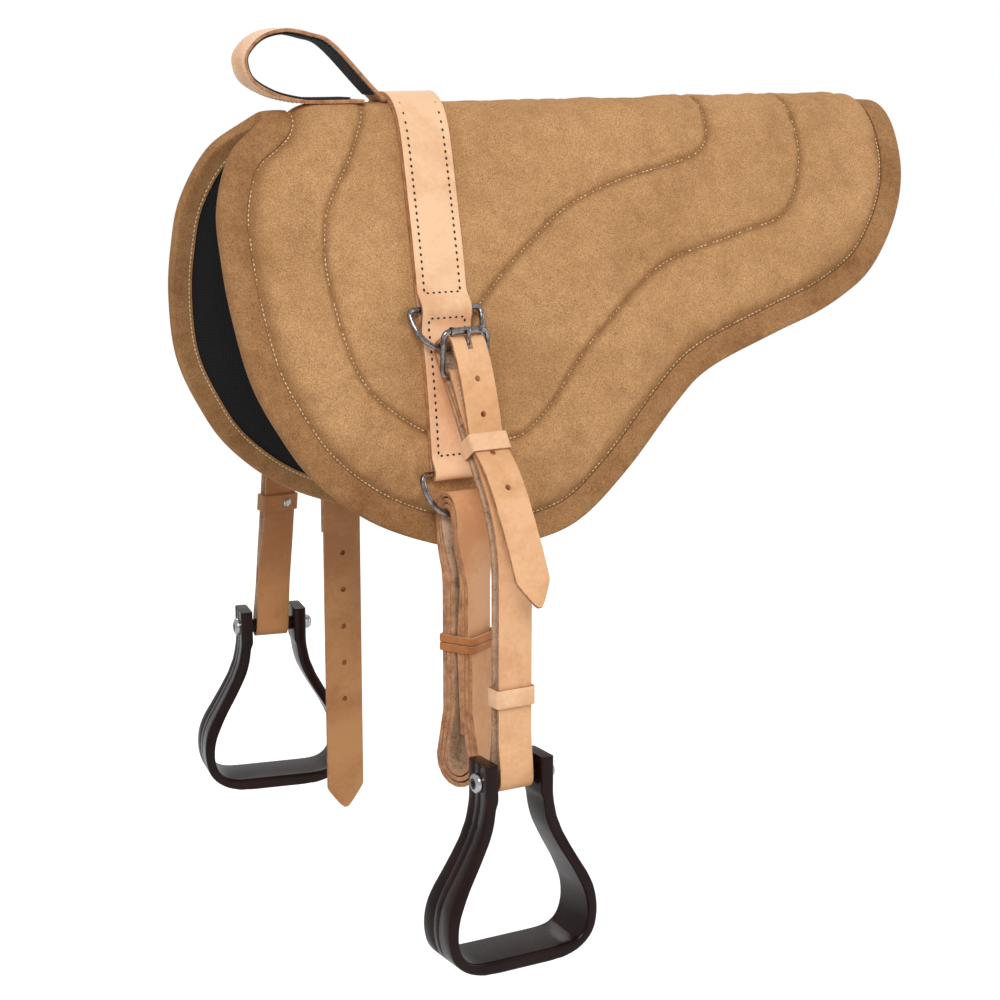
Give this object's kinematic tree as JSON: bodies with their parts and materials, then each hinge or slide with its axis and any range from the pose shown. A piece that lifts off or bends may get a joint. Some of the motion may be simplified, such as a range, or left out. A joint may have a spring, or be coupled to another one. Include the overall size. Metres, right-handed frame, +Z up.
{
  "type": "bareback pad",
  "caption": "Quilted suede bareback pad folded over the horse's back, with a leather rigging strap, a hand strap, hinged rings, buckled stirrup leathers, swinging stirrups and girth straps.",
  "frame": {"origin": "On the pad's underside at the spine, where it rests on the horse's back, a little behind the rigging strap", "axes": "+X towards the horse's tail, -Y the near (left) side of the horse, +Z up"},
  "size_m": [0.7192, 0.5158, 0.7845],
  "materials": {
    "suede": "tan suede, mottled",
    "suede_binding": "darker tan suede, folded over the edge",
    "foam": "closed foam filling, hidden",
    "lining": "black non-slip lining",
    "leather": "natural vegetable-tanned leather, smooth",
    "latigo": "natural leather, smooth outside and fuzzy inside",
    "lace": "dark lace",
    "webbing": "black webbing",
    "nickel": "dark polished nickel",
    "steel": "zinc-plated steel",
    "plastic": "very dark brown moulded plastic"
  },
  "bodies": {
    "root": {"lining": "lining", "foam_core": "foam", "suede_cover_near": "suede", "suede_cover_off": "suede", "edge_binding": "suede_binding", "rigging_strap": "leather", "handle_strap": "leather", "handle_lining": "webbing"},
    "near_upper_ring": {"near_upper_ring": "nickel"},
    "near_lower_ring": {"near_lower_ring": "nickel"},
    "near_stirrup_leather": {"near_stirrup_leather": "leather"},
    "near_buckle": {"near_buckle": "nickel"},
    "near_buckle_roller": {"near_buckle_roller": "nickel"},
    "near_buckle_tongue": {"near_buckle_tongue": "nickel"},
    "near_upper_keeper": {"near_upper_keeper": "leather", "near_upper_keeper_rivet": "steel"},
    "near_lower_keeper": {"near_lower_keeper": "leather", "near_lower_keeper_rivet": "steel"},
    "near_stirrup": {"near_stirrup": "plastic", "near_stirrup_bolt": "steel", "near_stirrup_nut": "steel"},
    "near_stirrup_sleeve": {"near_stirrup_sleeve": "plastic"},
    "off_upper_ring": {"off_upper_ring": "nickel"},
    "off_lower_ring": {"off_lower_ring": "nickel"},
    "off_stirrup_leather": {"off_stirrup_leather": "leather"},
    "off_buckle": {"off_buckle": "nickel"},
    "off_buckle_roller": {"off_buckle_roller": "nickel"},
    "off_buckle_tongue": {"off_buckle_tongue": "nickel"},
    "off_upper_keeper": {"off_upper_keeper": "leather", "off_upper_keeper_rivet": "steel"},
    "off_lower_keeper": {"off_lower_keeper": "leather", "off_lower_keeper_rivet": "steel"},
    "off_stirrup": {"off_stirrup": "plastic", "off_stirrup_bolt": "steel", "off_stirrup_nut": "steel"},
    "off_stirrup_sleeve": {"off_stirrup_sleeve": "plastic"},
    "latigo": {"latigo": "latigo", "latigo_tie": "lace"},
    "off_billet": {"off_billet": "leather"}
  },
  "joints": [
    {"name": "near_upper_ring_swing", "type": "hinge", "parent": "root", "child": "near_upper_ring", "pos_m": [-0.183, -0.09157, -0.15583], "axis": [-1, 0, 0], "range_deg": [0, 45]},
    {"name": "near_lower_ring_swing", "type": "hinge", "parent": "root", "child": "near_lower_ring", "pos_m": [-0.183, -0.11346, -0.29466], "axis": [-1, 0, 0], "range_deg": [0, 6]},
    {"name": "near_leather_swing", "type": "hinge", "parent": "near_upper_ring", "child": "near_stirrup_leather", "pos_m": [-0.183, -0.11057, -0.18874], "axis": [-1, 0, 0], "range_deg": [0, 50]},
    {"name": "near_buckle_lift", "type": "hinge", "parent": "near_stirrup_leather", "child": "near_buckle", "pos_m": [-0.18307, -0.12662, -0.20923], "axis": [1, 0, 0], "range_deg": [0, 3]},
    {"name": "near_tongue_lift", "type": "hinge", "parent": "near_buckle", "child": "near_buckle_tongue", "pos_m": [-0.18307, -0.12662, -0.20923], "axis": [1, 0, 0], "range_deg": [0, 3]},
    {"name": "near_roller_spin", "type": "hinge", "parent": "near_buckle", "child": "near_buckle_roller", "pos_m": [-0.183, -0.12891, -0.17066], "axis": [1, 0, 0], "continuous": true},
    {"name": "near_upper_keeper_slide", "type": "slide", "parent": "near_stirrup_leather", "child": "near_upper_keeper", "axis": [-0.0026, -0.5764, -0.8171], "range_m": [-0.003, 0.002]},
    {"name": "near_lower_keeper_slide", "type": "slide", "parent": "near_stirrup_leather", "child": "near_lower_keeper", "axis": [-0.0026, 0, -1], "range_m": [-0.012, 0.016]},
    {"name": "near_stirrup_swing", "type": "hinge", "parent": "near_stirrup_leather", "child": "near_stirrup", "pos_m": [-0.184, -0.20756, -0.5419], "axis": [-1, 0, 0], "range_deg": [-18, 60]},
    {"name": "near_sleeve_spin", "type": "hinge", "parent": "near_stirrup", "child": "near_stirrup_sleeve", "pos_m": [-0.184, -0.20756, -0.5419], "axis": [1, 0, 0], "continuous": true},
    {"name": "off_upper_ring_swing", "type": "hinge", "parent": "root", "child": "off_upper_ring", "pos_m": [-0.183, 0.09157, -0.15583], "axis": [1, 0, 0], "range_deg": [0, 45]},
    {"name": "off_lower_ring_swing", "type": "hinge", "parent": "root", "child": "off_lower_ring", "pos_m": [-0.183, 0.11346, -0.29466], "axis": [1, 0, 0], "range_deg": [0, 8]},
    {"name": "off_leather_swing", "type": "hinge", "parent": "off_upper_ring", "child": "off_stirrup_leather", "pos_m": [-0.183, 0.11057, -0.18874], "axis": [1, 0, 0], "range_deg": [0, 40]},
    {"name": "off_buckle_lift", "type": "hinge", "parent": "off_stirrup_leather", "child": "off_buckle", "pos_m": [-0.18505, 0.13186, -0.20372], "axis": [-1, 0, 0], "range_deg": [0, 3]},
    {"name": "off_tongue_lift", "type": "hinge", "parent": "off_buckle", "child": "off_buckle_tongue", "pos_m": [-0.18505, 0.13186, -0.20372], "axis": [-1, 0, 0], "range_deg": [0, 3]},
    {"name": "off_roller_spin", "type": "hinge", "parent": "off_buckle", "child": "off_buckle_roller", "pos_m": [-0.183, 0.1229, -0.16614], "axis": [1, 0, 0], "continuous": true},
    {"name": "off_upper_keeper_slide", "type": "slide", "parent": "off_stirrup_leather", "child": "off_upper_keeper", "axis": [-0.0786, 0.7856, -0.6138], "range_m": [-0.002, 0.006]},
    {"name": "off_lower_keeper_slide", "type": "slide", "parent": "off_stirrup_leather", "child": "off_lower_keeper", "axis": [-0.0786, 0, -0.9969], "range_m": [-0.005, 0.005]},
    {"name": "off_stirrup_swing", "type": "hinge", "parent": "off_stirrup_leather", "child": "off_stirrup", "pos_m": [-0.21249, 0.22227, -0.50546], "axis": [0.9781, -0.2079, 0], "range_deg": [-18, 60]},
    {"name": "off_sleeve_spin", "type": "hinge", "parent": "off_stirrup", "child": "off_stirrup_sleeve", "pos_m": [-0.21249, 0.22227, -0.50546], "axis": [0.9781, -0.2079, 0], "continuous": true},
    {"name": "latigo_swing", "type": "hinge", "parent": "near_lower_ring", "child": "latigo", "pos_m": [-0.183, -0.12645, -0.33037], "axis": [-1, 0, 0], "range_deg": [0, 8]},
    {"name": "billet_swing", "type": "hinge", "parent": "off_lower_ring", "child": "off_billet", "pos_m": [-0.183, 0.11875, -0.33229], "axis": [1, 0, 0], "range_deg": [0, 8]}
  ]
}
